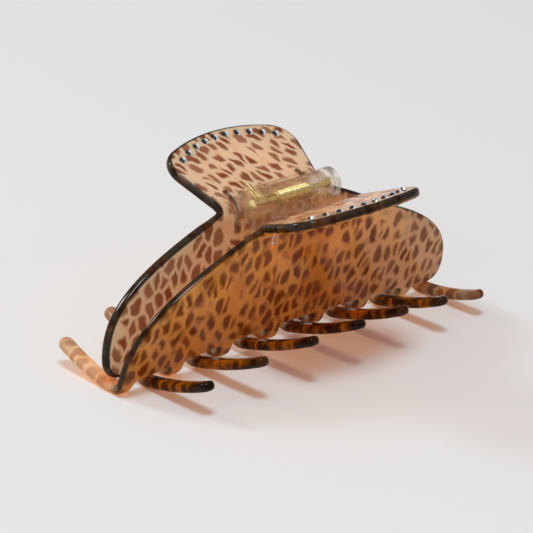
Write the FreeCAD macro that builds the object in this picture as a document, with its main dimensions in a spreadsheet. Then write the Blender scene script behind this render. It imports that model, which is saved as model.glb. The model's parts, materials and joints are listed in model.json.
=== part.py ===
"""Claw clip: two sprung jaws of moulded acetate sheet, hinged on a plastic barrel.

Frame, in millimetres: X along the hinge pin, Z up, the left jaw on the +Y side and the right jaw on
the -Y side. The origin is on the floor under the middle of the clip. Both jaws and both rows of
stones are one shape used twice: the right one is the left one turned half a turn about Z.
"""

import FreeCAD, Part
import math
import os
import Sketcher

V = FreeCAD.Vector
ALONG = V(1, 0, 0)

SIZES = {
    # sheet and its bend, seen along the pin; "out" is the distance from the middle plane
    "sheet": 2.3,
    "foot_out": 1.5,
    "foot_rise": 2.4,
    "foot_lean": 13.3,
    "body_turn": 8.87,
    "body_run": 31.8,
    "waist_bend": 4.0,
    "handle_angle": 24.0,
    "handle_run": 22.0,
    # outline of the jaw, seen square to the sheet
    "clip_length": 107.6,
    "waist_half": 16.7,
    "tooth_end": 52.5,
    "tooth_end_dome": 2.75,
    "free_end_dome": 3.15,
    "dome_edge": 1.14,
    "edge_rise": 2.6,
    "edge_arch": 3.1,
    "free_corner": 4.0,
    "ear_across": 13.8,
    "ear_along": 13.3,
    "ear_radius": 6.4,
    # teeth
    "tooth_count": 7,
    "tooth_pitch": 15.5,
    "tooth_shift": 4.1,
    "tooth_width": 3.8,
    "tooth_depth": 2.2,
    "tooth_bend": 2.2,
    "tooth_lift": 1.3,
    "tooth_slope": 15.0,
    "tooth_round": 0.9,
    "tip_round": 1.82,
    "tip_out": 22.4,
    "tip_out_loss": 3.7,
    "tip_rise": 5.2,
    "tip_arch": 6.4,
    # hinge
    "pin_rise": 36.7,
    "pin_radius": 0.6,
    "pin_head": 1.2,
    "pin_head_deep": 0.5,
    "pin_half": 12.9,
    "bore_play": 0.06,
    "cheek_radius": 3.6,
    "cheek_in": 10.6,
    "cheek_out": 13.1,
    "knuckle_radius": 3.3,
    "knuckle_in": 6.5,
    "knuckle_out": 9.6,
    "saddle_thick": 1.2,
    "saddle_drop": 6.2,
    "hood_inner": 2.4,
    "hood_top": 86.0,
    "hood_foot": 66.0,
    "apron_top": 14.0,
    "apron_side": 86.0,
    "knuckle_gap": 0.3,
    "face_gap": 0.02,
    "groove_width": 1.0,
    "slot_across": 12.0,
    "slot_width": 1.2,
    "slot_down": 5.6,
    "slot_up": 4.4,
    "stake_down": 3.1,
    "stake_tall": 1.5,
    "stake_head": 1.4,
    "stake_head_high": 0.8,
    # torsion spring
    "wire": 0.8,
    "coil_mean": 1.12,
    "coil_half": 5.2,
    "coil_whole_turns": 12,
    "near_leg_angle": 65.0,
    "near_leg_out": 5.6,
    "far_leg_angle": 232.0,
    "far_leg_radius": 2.0,
    "far_leg_out": 1.2,
    # stones
    "stone_count": 10,
    "stone_row_half": 15.4,
    "stone_row_top": 19.6,
    "stone_row_radius": 33.0,
    "stone_girdle": 0.95,
    "stone_table": 0.5,
    "stone_high": 1.1,
    "seat_deep": 0.5,
    "seat_play": 0.03,
}

doc = FreeCAD.newDocument("claw_clip")
sheet = doc.addObject("Spreadsheet::Sheet", "Sizes")
for row, (alias, value) in enumerate(SIZES.items(), start=1):
    sheet.set(f"A{row}", alias)
    sheet.set(f"B{row}", str(value))
    sheet.setAlias(f"B{row}", alias)
doc.recompute()


def size(alias):
    return float(sheet.get(alias))


# ---- paths in the plane across the clip ----------------------------------------------------------


class Path:
    """A flat path of straight and round runs in the Y-Z plane, started at a point with a heading.

    Each run is (length, turn in degrees, left positive), so a copy of the path set off to the
    left by some distance is made of the same runs on smaller or larger radii.
    """

    def __init__(self, y, z, heading, runs):
        self.start = (y, z, heading)
        self.runs = runs

    def stations(self, offset=0.0):
        """The ends of the runs, each as (y, z, heading), for the path set off to the left."""
        y, z, heading = self.start
        angle = math.radians(heading)
        y -= offset * math.sin(angle)
        z += offset * math.cos(angle)
        out = [(y, z, heading)]
        for length, turn in self.runs:
            y, z, heading = self.advance(y, z, heading, length, turn, offset)
            out.append((y, z, heading))
        return out

    @staticmethod
    def advance(y, z, heading, length, turn, offset):
        chord = length - offset * math.radians(turn)
        if turn:
            chord *= math.sin(math.radians(turn / 2)) / math.radians(turn / 2)
        angle = math.radians(heading + turn / 2)
        return y + chord * math.cos(angle), z + chord * math.sin(angle), heading + turn

    def edges(self, offset):
        """One edge for each run of the path set off to the left."""
        out = []
        stations = self.stations(offset)
        for (y, z, heading), (length, turn), end in zip(stations, self.runs, stations[1:]):
            first = V(0, y, z)
            last = V(0, end[0], end[1])
            if turn:
                half = self.advance(y, z, heading, length / 2, turn / 2, offset)
                out.append(Part.Arc(first, V(0, half[0], half[1]), last).toShape())
            else:
                out.append(Part.LineSegment(first, last).toShape())
        return out

    def strip(self, left, right, x_from, x_to):
        """A solid as wide as x_from to x_to, between the path set off by left and by right."""
        a = self.edges(left)
        b = self.edges(right)
        caps = [
            Part.LineSegment(a[0].Vertexes[0].Point, b[0].Vertexes[0].Point).toShape(),
            Part.LineSegment(a[-1].Vertexes[-1].Point, b[-1].Vertexes[-1].Point).toShape(),
        ]
        outline = Part.Wire(Part.__sortEdges__(a + b + caps))
        face = Part.Face(outline)
        face.translate(V(x_from, 0, 0))
        return face.extrude(V(x_to - x_from, 0, 0))


def bend_angle():
    """Turn of the waist bend, from the top of the body to the handle."""
    return 90 - size("foot_lean") + size("body_turn") - size("handle_angle")


def tangent_length():
    """Distance from the corner where body and handle would meet to the start of the bend."""
    return size("waist_bend") * math.tan(math.radians(bend_angle() / 2))


def body_length():
    """Length of the body's slow curve, from the foot to the start of the waist bend."""
    return size("body_run") - tangent_length()


def body_turn(length):
    """Turn of the body's slow curve over some length of it."""
    return size("body_turn") * length / body_length()


def jaw_path():
    """Middle of the sheet from the foot, up the body, round the waist and out along the handle."""
    bend = size("waist_bend") * math.radians(bend_angle())
    runs = [
        (body_length(), size("body_turn")),
        (bend, -bend_angle()),
        (size("handle_run") - tangent_length(), 0),
    ]
    return Path(size("foot_out"), size("foot_rise"), 90 - size("foot_lean"), runs)


def part_path(before, after):
    """The stretch of the jaw's path from `before` under the bend to `after` past it."""
    whole = jaw_path()
    y, z, heading = whole.stations()[1]
    turn = body_turn(before)
    back = Path.advance(y, z, heading + 180, before, -turn, 0)
    runs = [(before, turn), whole.runs[1]]
    if after:
        runs.append((after, 0))
    return Path(back[0], back[1], back[2] - 180, runs)


# ---- jaw -----------------------------------------------------------------------------------------


def arch(x):
    """One at the middle of the clip and nought at its ends."""
    return 1 - (2 * x / size("clip_length")) ** 2


def shoulder(end, power):
    """Points up one side of the body: waist + (end - waist) * (1 - step^power)^dome_edge."""
    waist = size("waist_half")
    foot = size("edge_rise")
    rise = waist_rise() - foot
    points = []
    for step in (0, 0.2, 0.35, 0.48, 0.6, 0.7, 0.79, 0.87, 0.93, 0.97, 1.0):
        dome = (1 - step**power) ** size("dome_edge")
        points.append(V(waist + (end - waist) * dome, 0, foot + step * rise))
    return points


def waist_rise():
    """Height of the corner where body and handle would meet."""
    mean_lean = size("foot_lean") - size("body_turn") / 2
    return size("foot_rise") + size("body_run") * math.cos(math.radians(mean_lean))


def body_outline():
    """Prism along Y that trims the body: arched foot, domed shoulders, straight above the waist.

    The end at +X stops flush with the last tooth; the free end at -X has a round lower corner.
    """
    half = size("clip_length") / 2
    waist = size("waist_half")
    foot = size("edge_rise")
    over = waist_rise() + 2 * size("waist_bend")
    right = shoulder(size("tooth_end"), size("tooth_end_dome"))
    left = [V(-p.x, 0, p.z) for p in shoulder(half, size("free_end_dome"))]
    corner = size("free_corner")
    left[0].z += corner
    right_curve = Part.BSplineCurve()
    right_curve.interpolate(right)
    left_curve = Part.BSplineCurve()
    left_curve.interpolate(left)
    square = V(-half + corner, 0, foot + size("edge_arch") * arch(-half + corner))
    middle = V(0, 0, foot + size("edge_arch"))
    slant = corner * (1 - math.sqrt(0.5))
    round_mid = V(-half + slant, 0, foot + slant + size("edge_arch") * arch(-half + corner) / 2)
    edges = [
        Part.Arc(square, middle, right[0]).toShape(),
        right_curve.toShape(),
        Part.LineSegment(right[-1], V(waist, 0, over)).toShape(),
        Part.LineSegment(V(waist, 0, over), V(-waist, 0, over)).toShape(),
        Part.LineSegment(V(-waist, 0, over), left[-1]).toShape(),
        left_curve.toShape(),
        Part.Arc(left[0], round_mid, square).toShape(),
    ]
    face = Part.Face(Part.Wire(Part.__sortEdges__(edges)))
    face.translate(V(0, -half, 0))
    return face.extrude(V(0, 2 * half, 0))


def handle_frame():
    """Placement whose X and Y lie in the handle's middle plane, Y out from the waist corner."""
    end_y, end_z, heading = jaw_path().stations()[-1]
    turned = FreeCAD.Rotation(ALONG, heading)
    out = turned.multVec(V(0, size("handle_run"), 0))
    return FreeCAD.Placement(V(0, end_y, end_z) - out, turned)


def mirrored(point):
    """The same point of the handle's plane on the other side of its middle line."""
    return V(-point.x, point.y, 0)


def handle_outline():
    """Prism square to the handle that trims it: flared sides, round ears and a crowned edge."""
    waist = size("waist_half")
    ear = V(size("ear_across"), size("ear_along"), 0)
    radius = size("ear_radius")
    out = size("handle_run")
    # side: tangent from the waist corner to the ear's circle
    to_ear = ear - V(waist, 0, 0)
    side_angle = math.atan2(to_ear.y, to_ear.x) - math.asin(radius / to_ear.Length)
    touch = ear + V(math.sin(side_angle), -math.cos(side_angle), 0) * radius
    # crown: one arc tangent to both ears and reaching the end of the handle on the middle line
    rise = out - ear.y
    crown = (ear.x**2 + rise**2 - radius**2) / (2 * (rise - radius))
    centre = V(0, out - crown, 0)
    meet = centre + (ear - centre).normalize() * crown
    ear_mid = ear + ((touch - ear).normalize() + (meet - ear).normalize()).normalize() * radius
    below = -2 * size("waist_bend")
    edges = [
        Part.LineSegment(V(waist, 0, 0), touch).toShape(),
        Part.Arc(touch, ear_mid, meet).toShape(),
        Part.Arc(meet, V(0, out, 0), mirrored(meet)).toShape(),
        Part.Arc(mirrored(meet), mirrored(ear_mid), mirrored(touch)).toShape(),
        Part.LineSegment(mirrored(touch), V(-waist, 0, 0)).toShape(),
        Part.LineSegment(V(-waist, 0, 0), V(-waist, below, 0)).toShape(),
        Part.LineSegment(V(-waist, below, 0), V(waist, below, 0)).toShape(),
        Part.LineSegment(V(waist, below, 0), V(waist, 0, 0)).toShape(),
    ]
    face = Part.Face(Part.Wire(Part.__sortEdges__(edges)))
    deep = 3 * size("waist_bend")
    face.translate(V(0, 0, -deep))
    prism = face.extrude(V(0, 0, 2 * deep))
    prism.Placement = handle_frame()
    return prism


def tooth_places():
    count = int(size("tooth_count"))
    middle = (count - 1) / 2
    return [size("tooth_shift") + (k - middle) * size("tooth_pitch") for k in range(count)]


def tooth_slope(x):
    """Slope of a tooth where its bend ends, steep at the middle of the clip and level at its ends."""
    return size("tooth_slope") * (1 - (2 * x / size("clip_length")) ** 4)


def tooth_path(x):
    """Down from inside the body, round the bend and out under the other jaw to the tip.

    The bends lie on an arch too: they rise with tooth_lift * arch squared from the last tooth's,
    which rests on the floor. The last arc starts at the tooth's slope and passes through its tip.
    """
    lean = size("foot_lean")
    bend = size("tooth_bend")
    lowest = min(arch(place) ** 2 for place in tooth_places())
    bottom = size("tooth_depth") / 2 + size("tooth_lift") * (arch(x) ** 2 - lowest)
    start_rise = bottom + bend * (1 - math.sin(math.radians(lean)))
    start = (start_rise - size("foot_rise")) / math.cos(math.radians(lean))
    inside = bend
    up = start + inside
    y, z, heading = Path.advance(size("foot_out"), size("foot_rise"), 90 - lean, up, body_turn(up), 0)
    slope = tooth_slope(x)
    turn = heading - body_turn(inside) + slope
    path = Path(y, z, heading + 180, [(inside, -body_turn(inside)), (bend * math.radians(turn), -turn)])
    low_y, low_z, _ = path.stations()[-1]
    run = low_y + size("tip_out") - size("tip_out_loss") * (1 - arch(x))
    rise = size("tip_rise") + size("tip_arch") * arch(x) - low_z
    half_curl = math.degrees(math.atan2(rise, run)) - slope
    straighten = math.radians(half_curl) / math.sin(math.radians(half_curl))
    path.runs.append((math.hypot(run, rise) * straighten, -2 * half_curl))
    return path


def crosses(edge):
    """True for an edge square to the X axis."""
    return abs(edge.Vertexes[0].X - edge.Vertexes[-1].X) < 1e-6


def tooth(x):
    """A strip along the tooth's path, rounded at the tip and along its edges."""
    depth = size("tooth_depth")
    width = size("tooth_width")
    path = tooth_path(x)
    solid = path.strip(depth / 2, -depth / 2, x - width / 2, x + width / 2)
    end_y, end_z, _ = path.stations()[-1]
    tip = V(x, end_y, end_z)
    corners = []
    for edge in solid.Edges:
        if crosses(edge) and edge.Length < 1.1 * depth and (edge.CenterOfMass - tip).Length < width:
            corners.append(edge)
    solid = solid.makeFillet(size("tip_round"), corners)
    top_y, top_z, _ = path.stations()[0]
    root = V(x, top_y, top_z)
    rim = []
    for edge in solid.Edges:
        short = crosses(edge) and edge.Length < 1.025 * depth
        if not short and (edge.CenterOfMass - root).Length > 0.6 * width:
            rim.append(edge)
    return solid.makeFillet(size("tooth_round"), rim)


def jaw_shape():
    thick = size("sheet") / 2
    half = size("clip_length") / 2
    section = jaw_path()
    solid = section.strip(thick, -thick, -half, half)
    above = handle_side()
    body = solid.common(body_outline()).cut(above)
    handle = solid.common(handle_outline()).common(above)
    plate = body.fuse(handle).removeSplitter()
    slot = part_path(size("slot_down") - tangent_length(), size("slot_up") - tangent_length())
    for x in (-size("slot_across"), size("slot_across")):
        width = size("slot_width") / 2
        plate = plate.cut(slot.strip(2 * thick, -2 * thick, x - width, x + width))
    for place in stone_places():
        seat = Part.makeCylinder(size("stone_girdle") + size("seat_play"), size("sheet"))
        seat.Placement = place
        plate = plate.cut(seat)
    return plate.fuse([tooth(x) for x in tooth_places()])


def handle_side():
    """Block on the handle's side of the plane across the middle of the waist bend."""
    section = part_path(0, 0)
    section.runs = [(section.runs[1][0] / 2, section.runs[1][1] / 2)]
    y, z, heading = section.stations()[-1]
    reach = 2 * size("clip_length")
    block = Part.makeBox(reach, reach, reach, V(-reach / 2, -reach / 2, 0))
    block.Placement = FreeCAD.Placement(V(0, y, z), FreeCAD.Rotation(ALONG, heading - 90))
    return block


# ---- stones --------------------------------------------------------------------------------------


def stone_places():
    """Placements of the stones' flat backs, in a shallow arc under the handle's outer edge."""
    count = int(size("stone_count"))
    frame = handle_frame()
    floor = size("sheet") / 2 - size("seat_deep")
    radius = size("stone_row_radius")
    end = math.asin(size("stone_row_half") / radius)
    places = []
    for k in range(count):
        angle = end * (2 * k / (count - 1) - 1)
        x = radius * math.sin(angle)
        along = size("stone_row_top") - radius * (1 - math.cos(angle))
        local = FreeCAD.Placement(V(x, along, floor), FreeCAD.Rotation())
        places.append(frame.multiply(local))
    return places


def half_turn():
    return FreeCAD.Placement(V(0, 0, 0), FreeCAD.Rotation(V(0, 0, 1), 180))


def add_feature(label, shape, placement=None):
    feature = doc.addObject("Part::Feature", label)
    feature.Label = label
    feature.Shape = shape
    if placement is not None:
        feature.Placement = placement
    return feature


def add_stones(side, turn):
    stones = []
    for number, place in enumerate(stone_places(), start=1):
        label = f"{side}_stone_{number:02d}"
        stone = doc.addObject("Part::Cone", label)
        stone.Label = label
        stone.setExpression("Radius1", "Sizes.stone_girdle")
        stone.setExpression("Radius2", "Sizes.stone_table")
        stone.setExpression("Height", "Sizes.stone_high")
        stone.Placement = turn.multiply(place)
        stones.append(stone)
    return stones


# ---- hinge leaves --------------------------------------------------------------------------------


def pin_place():
    return V(0, 0, size("pin_rise"))


def barrel(radius, x_from, x_to):
    """Cylinder about the pin's axis."""
    return Part.makeCylinder(radius, x_to - x_from, V(x_from, 0, size("pin_rise")), ALONG)


def rim_point(radius, degrees):
    """Point on a circle about the pin's axis, measured from the leaf's own side upwards."""
    angle = math.radians(degrees)
    return V(0, radius * math.cos(angle), size("pin_rise") + radius * math.sin(angle))


def web(radius, drop, x_from, x_to, start=None):
    """Plastic that runs from the barrel down to the sheet and fills the space beside the bend.

    Its free side starts at the tangent point on the barrel, or at the angle `start`, and ends on
    the sheet, `drop` below the bend.
    """
    stations = part_path(drop, 0).stations()
    foot = V(0, stations[0][0], stations[0][1])
    if start is None:
        to_foot = foot - pin_place()
        start = math.degrees(math.atan2(to_foot.z, to_foot.y) - math.acos(radius / to_foot.Length))
    corners = [pin_place(), rim_point(radius, start)]
    corners += [V(0, y, z) for y, z, _ in stations]
    face = Part.Face(Part.makePolygon(corners + corners[:1]))
    face.translate(V(x_from, 0, 0))
    solid = face.extrude(V(x_to - x_from, 0, 0))
    thick = size("sheet") / 2
    return solid.cut(part_path(drop + 1, 1).strip(thick, -2 * thick, x_from - 1, x_to + 1))


def hood(top, x_from, x_to):
    """Curved wall round the coil, from the sheet's side up to the angle `top`."""
    inner = size("hood_inner")
    outer = size("knuckle_radius")
    low = -size("hood_foot")
    middle = (low + top) / 2
    edges = [
        Part.Arc(rim_point(outer, low), rim_point(outer, middle), rim_point(outer, top)).toShape(),
        Part.LineSegment(rim_point(outer, top), rim_point(inner, top)).toShape(),
        Part.Arc(rim_point(inner, top), rim_point(inner, middle), rim_point(inner, low)).toShape(),
        Part.LineSegment(rim_point(inner, low), rim_point(outer, low)).toShape(),
    ]
    face = Part.Face(Part.Wire(edges))
    face.translate(V(x_from, 0, 0))
    return face.extrude(V(x_to - x_from, 0, 0))


def stake_path():
    """The short stretch of the jaw's path that a stake fills, under the waist."""
    middle = size("stake_down") - tangent_length()
    half = size("stake_tall") / 2
    long = part_path(middle + half, 0)
    return Path(*long.stations()[0], [(2 * half, body_turn(2 * half))])


def stake_head(x):
    """Domed head on the outer face of the sheet."""
    y, z, heading = stake_path().stations()[0]
    y, z, heading = Path.advance(y, z, heading, size("stake_tall") / 2, 0, 0)
    across = size("stake_head")
    high = size("stake_head_high")
    radius = (across**2 + high**2) / (2 * high)
    ball = Part.makeSphere(radius, V(0, 0, high - radius))
    cap = ball.common(Part.makeBox(4 * radius, 4 * radius, radius, V(-2 * radius, -2 * radius, 0)))
    outward = FreeCAD.Rotation(ALONG, heading - 180)
    face = V(x, y, z) + outward.multVec(V(0, 0, 1)) * (size("sheet") / 2 + size("face_gap"))
    cap.Placement = FreeCAD.Placement(face, outward)
    return cap


def groove(angle, depth, x_from, x_to):
    """Slot from the pin's bore outwards that a leg of the spring lies in."""
    width = size("groove_width")
    slot = Part.makeBox(x_to - x_from, depth, width, V(x_from, 0, -width / 2))
    slot.Placement = FreeCAD.Placement(pin_place(), FreeCAD.Rotation(ALONG, angle))
    return slot


def leaf_shape(hood_top, leg_angle, leg_depth):
    """One leaf, with its cheek at the +X end and its knuckle towards the -X end."""
    thick = size("sheet") / 2
    saddle = thick + size("saddle_thick")
    cheek = (size("cheek_in"), size("cheek_out"))
    knuckle = (-size("knuckle_out"), -size("knuckle_in"))
    inside = (-size("knuckle_in"), size("knuckle_in") - size("knuckle_gap"))
    small = size("knuckle_radius")
    drop = size("saddle_drop") - tangent_length()
    plate = part_path(drop, 0).strip(saddle, thick, knuckle[0], cheek[1])
    apron = web(small, drop / 2, *inside, start=-size("apron_side"))
    pieces = [
        barrel(size("cheek_radius"), *cheek),
        web(size("cheek_radius"), drop, *cheek),
        barrel(small, *knuckle),
        web(small, drop / 2, *knuckle),
        apron.cut(barrel(size("hood_inner"), *inside)),
        hood(hood_top, *inside),
        stake_path().strip(saddle, thick, -size("slot_across") - size("slot_width") / 2, knuckle[0]),
    ]
    stake_half = size("slot_width") / 2 - size("face_gap")
    high = size("stake_head_high")
    for x in (-size("slot_across"), size("slot_across")):
        pieces.append(stake_path().strip(saddle, -thick - high / 2, x - stake_half, x + stake_half))
        pieces.append(stake_head(x))
    leaf = plate.fuse(pieces).removeSplitter()
    other_cheek = (-size("cheek_out"), -size("cheek_in"))
    bore = size("pin_radius") + size("bore_play")
    leaf = leaf.cut(barrel(bore, other_cheek[0], cheek[1] + 1))
    floor = size("pin_half") - size("pin_head_deep") - size("bore_play")
    leaf = leaf.cut(barrel(size("pin_head") + size("bore_play"), floor, cheek[1] + 1))
    return leaf.cut(groove(leg_angle, leg_depth, *knuckle))


# ---- pin and spring ------------------------------------------------------------------------------


def add_pin():
    """Headed pin turned about the X axis; its sketch is half of its outline."""
    body = doc.addObject("PartDesign::Body", "hinge_pin")
    body.Label = "hinge_pin"
    profile = body.newObject("Sketcher::SketchObject", "pin_profile")
    plane = next(f for f in body.Origin.OriginFeatures if f.Role == "XY_Plane")
    profile.AttachmentSupport = (plane, [""])
    profile.MapMode = "FlatFace"
    half = size("pin_half")
    neck = half - size("pin_head_deep")
    shaft = size("pin_radius")
    head = size("pin_head")
    corners = [(-half, 0), (-half, head), (-neck, head), (-neck, shaft)]
    corners += [(-x, r) for x, r in reversed(corners)]
    count = len(corners)
    for k, (x, r) in enumerate(corners):
        end = corners[(k + 1) % count]
        profile.addGeometry(Part.LineSegment(V(x, r, 0), V(end[0], end[1], 0)), False)
    for k in range(count):
        profile.addConstraint(Sketcher.Constraint("Coincident", k, 2, (k + 1) % count, 1))
        profile.addConstraint(Sketcher.Constraint("Vertical" if k % 2 == 0 else "Horizontal", k))
    named = [
        ("axis_on_line", Sketcher.Constraint("PointOnObject", 0, 1, -1), None),
        ("near_end", Sketcher.Constraint("DistanceX", 0, 1, -1, 1, half), "Sizes.pin_half"),
        ("whole_length", Sketcher.Constraint("DistanceX", 0, 1, 6, 2, 2 * half), "2 * Sizes.pin_half"),
        ("near_head", Sketcher.Constraint("DistanceY", 0, 1, 0, 2, head), "Sizes.pin_head"),
        ("far_head", Sketcher.Constraint("DistanceY", 6, 2, 6, 1, head), "Sizes.pin_head"),
        ("near_deep", Sketcher.Constraint("DistanceX", 1, 1, 1, 2, half - neck), "Sizes.pin_head_deep"),
        ("far_deep", Sketcher.Constraint("DistanceX", 5, 1, 5, 2, half - neck), "Sizes.pin_head_deep"),
        ("shaft", Sketcher.Constraint("DistanceY", 0, 1, 3, 1, shaft), "Sizes.pin_radius"),
    ]
    for name, constraint, bound in named:
        index = profile.addConstraint(constraint)
        profile.renameConstraint(index, name)
        if bound:
            profile.setExpression(f"Constraints.{name}", bound)
    turned = body.newObject("PartDesign::Revolution", "pin_turned")
    turned.Profile = profile
    turned.ReferenceAxis = (profile, ["H_Axis"])
    turned.Angle = 360
    body.Placement = FreeCAD.Placement(pin_place(), FreeCAD.Rotation())
    return body


def rod(points):
    """Round wire through the points, with a ball at each corner and a rounded end."""
    radius = size("wire") / 2
    solids = [Part.makeSphere(radius, p) for p in points[1:]]
    for first, last in zip(points, points[1:]):
        run = last - first
        solids.append(Part.makeCylinder(radius, run.Length, first, run))
    return solids[0].fuse(solids[1:])


def spring_shape():
    """Close coil on the pin with two legs, one to each leaf."""
    mean = size("coil_mean")
    half = size("coil_half")
    near_angle = size("near_leg_angle")
    far_angle = size("far_leg_angle")
    turns = size("coil_whole_turns") + (far_angle - near_angle) / 360
    helix = Part.makeHelix(2 * half / turns, 2 * half, mean)
    start = V(mean, 0, 0)
    section = Part.Wire(Part.makeCircle(size("wire") / 2, start, V(0, 1, 0)))
    coil = Part.Wire(helix).makePipeShell([section], True, True)
    # the helix climbs +Z and starts on +X: Z goes to X, then the start goes to the near leg's angle
    stand = FreeCAD.Rotation(V(0, 1, 0), V(0, 0, 1), V(1, 0, 0), "ZXY")
    stand = FreeCAD.Rotation(ALONG, near_angle) * stand
    coil.Placement = FreeCAD.Placement(pin_place() - V(half, 0, 0), stand)
    lane = (size("cheek_in") + size("knuckle_out")) / 2
    near = rim_point(mean, near_angle)
    corner = near - ALONG * lane
    out = FreeCAD.Rotation(ALONG, size("handle_angle")).multVec(V(0, size("near_leg_out"), 0))
    near_leg = rod([near - ALONG * half, corner, corner + out])
    far_coil = rim_point(mean, far_angle)
    far = rim_point(size("far_leg_radius"), far_angle)
    tail = rim_point(size("far_leg_radius") + size("far_leg_out"), far_angle)
    corner = far + ALONG * lane
    far_leg = rod([far_coil + ALONG * half, far + ALONG * half, corner, tail + ALONG * lane])
    return coil.fuse([near_leg, far_leg])


# ---- assembly ------------------------------------------------------------------------------------

jaw = jaw_shape()
left_leaf = leaf_shape(size("hood_top"), size("near_leg_angle"), 2 * size("knuckle_radius"))
far_groove = size("far_leg_radius") + size("wire") / 2
right_leaf = leaf_shape(size("apron_top"), 180 - size("far_leg_angle"), far_groove)
pieces = [
    add_feature("left_jaw", jaw),
    add_feature("right_jaw", jaw, half_turn()),
    add_feature("left_hinge_leaf", left_leaf),
    add_feature("right_hinge_leaf", right_leaf, half_turn()),
    add_pin(),
    add_feature("torsion_spring", spring_shape()),
]
pieces += add_stones("left", FreeCAD.Placement())
pieces += add_stones("right", half_turn())

doc.recompute()
os.makedirs("parts", exist_ok=True)
for piece in pieces:
    if "Invalid" in piece.State or "Error" in piece.State:
        raise RuntimeError(f"{piece.Label} failed")
    if piece.Shape.isNull() or not piece.Shape.isValid():
        raise RuntimeError(f"{piece.Label} has no sound shape")
    piece.Shape.exportStep(f"parts/{piece.Label}.step")
    print(piece.Label, round(piece.Shape.Volume, 2), len(piece.Shape.Solids), piece.Shape.BoundBox)
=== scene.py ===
"""Claw clip: spotted acetate jaws, clear hinge, gilt spring and pin, and two rows of crystal stones.

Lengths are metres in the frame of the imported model: X along the pin, the left jaw on the +Y side,
Z up, and the floor at Z = 0. A jaw is worked out flat first, as the sheet it is cut from: x runs
along the clip and w runs up the sheet from the foot, round the waist and out along the handle.
"""

import json
import math

import bmesh
import bpy
import numpy as np
from mathutils import Matrix, Vector
from mathutils.geometry import delaunay_2d_cdt

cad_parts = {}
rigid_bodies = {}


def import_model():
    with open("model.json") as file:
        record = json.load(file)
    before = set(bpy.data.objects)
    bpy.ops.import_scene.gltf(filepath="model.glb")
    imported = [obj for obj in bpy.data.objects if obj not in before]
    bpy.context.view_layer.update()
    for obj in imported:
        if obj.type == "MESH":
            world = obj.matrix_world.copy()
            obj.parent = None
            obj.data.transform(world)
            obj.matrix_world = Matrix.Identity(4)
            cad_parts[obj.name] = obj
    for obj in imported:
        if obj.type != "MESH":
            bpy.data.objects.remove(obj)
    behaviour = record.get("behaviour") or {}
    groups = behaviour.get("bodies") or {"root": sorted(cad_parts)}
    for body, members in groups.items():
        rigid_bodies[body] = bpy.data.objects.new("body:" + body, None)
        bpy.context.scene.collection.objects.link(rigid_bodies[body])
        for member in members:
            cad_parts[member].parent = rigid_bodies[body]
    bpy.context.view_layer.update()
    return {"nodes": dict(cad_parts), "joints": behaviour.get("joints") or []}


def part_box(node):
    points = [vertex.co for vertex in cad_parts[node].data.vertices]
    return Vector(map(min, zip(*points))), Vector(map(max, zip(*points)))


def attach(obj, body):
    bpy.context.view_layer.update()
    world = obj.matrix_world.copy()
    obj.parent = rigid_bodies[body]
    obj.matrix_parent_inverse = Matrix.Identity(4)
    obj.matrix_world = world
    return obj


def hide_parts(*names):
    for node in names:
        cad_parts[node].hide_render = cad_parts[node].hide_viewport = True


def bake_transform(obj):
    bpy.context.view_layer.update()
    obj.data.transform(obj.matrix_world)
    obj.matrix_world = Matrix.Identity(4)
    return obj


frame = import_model()

bl_info = {
    "name": "Claw clip",
    "version": (1, 0, 0),
    "blender": (4, 5, 0),
    "location": "View3D > Sidebar > Claw clip",
    "description": "Builds a spotted acetate claw clip around its packed frame",
    "category": "Add Mesh",
}

MM = 0.001
HINGE = frame["joints"][0]
LEFT_BODY = HINGE["parent"]
RIGHT_BODY = HINGE["child"]
PIN_RISE = HINGE["pos_m"][2]
PLATE_DEPTH = 6 * MM  # rim depth given to points well inside a face
SLOT_DEPTH = 0.75 * MM  # rim depth given to a slot's walls, which gives them part of the rim's painted shade, brown
SLOT_ROUND = 0.3 * MM
PIN_ROUND = 0.22 * MM
OUTLINE_STEP = 0.38 * MM
FACE_STEP = 0.62 * MM
TIP_ROUND = 0.96  # radius of a tooth's tip corners, as a share of half its width
CLEAR_OF_CORNER = 1.3  # free corner radii left between the lower corner and the dome
RIM_BLUR = 0.5 * MM  # width over which the rim's painted shade fades into a face
RIM_INSIDE = 0.6 * MM  # how much wider the rim's painted shade is on the hinge side
JOIN = 0.002 * MM
PAINTED_GLINT_WAY = (0.55, -0.75, 0.35)  # facets turned this way get a painted glint
SHEET_GAP = 0.23  # keeps the right jaw's pattern away from the left jaw's
CLIP_LENGTH = -2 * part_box("left_jaw")[0].x


def length_prop(name, description, millimetres):
    settings = {"min": 0.0, "precision": 5, "unit": "LENGTH"}
    return bpy.props.FloatProperty(
        name=name, description=description, default=millimetres * MM, **settings
    )


def angle_prop(name, description, degrees):
    return bpy.props.FloatProperty(
        name=name, description=description, default=math.radians(degrees), subtype="ANGLE"
    )


def colour_prop(name, description, colour):
    settings = {"size": 3, "min": 0.0, "max": 1.0, "subtype": "COLOR"}
    return bpy.props.FloatVectorProperty(
        name=name, description=description, default=colour, **settings
    )


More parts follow.
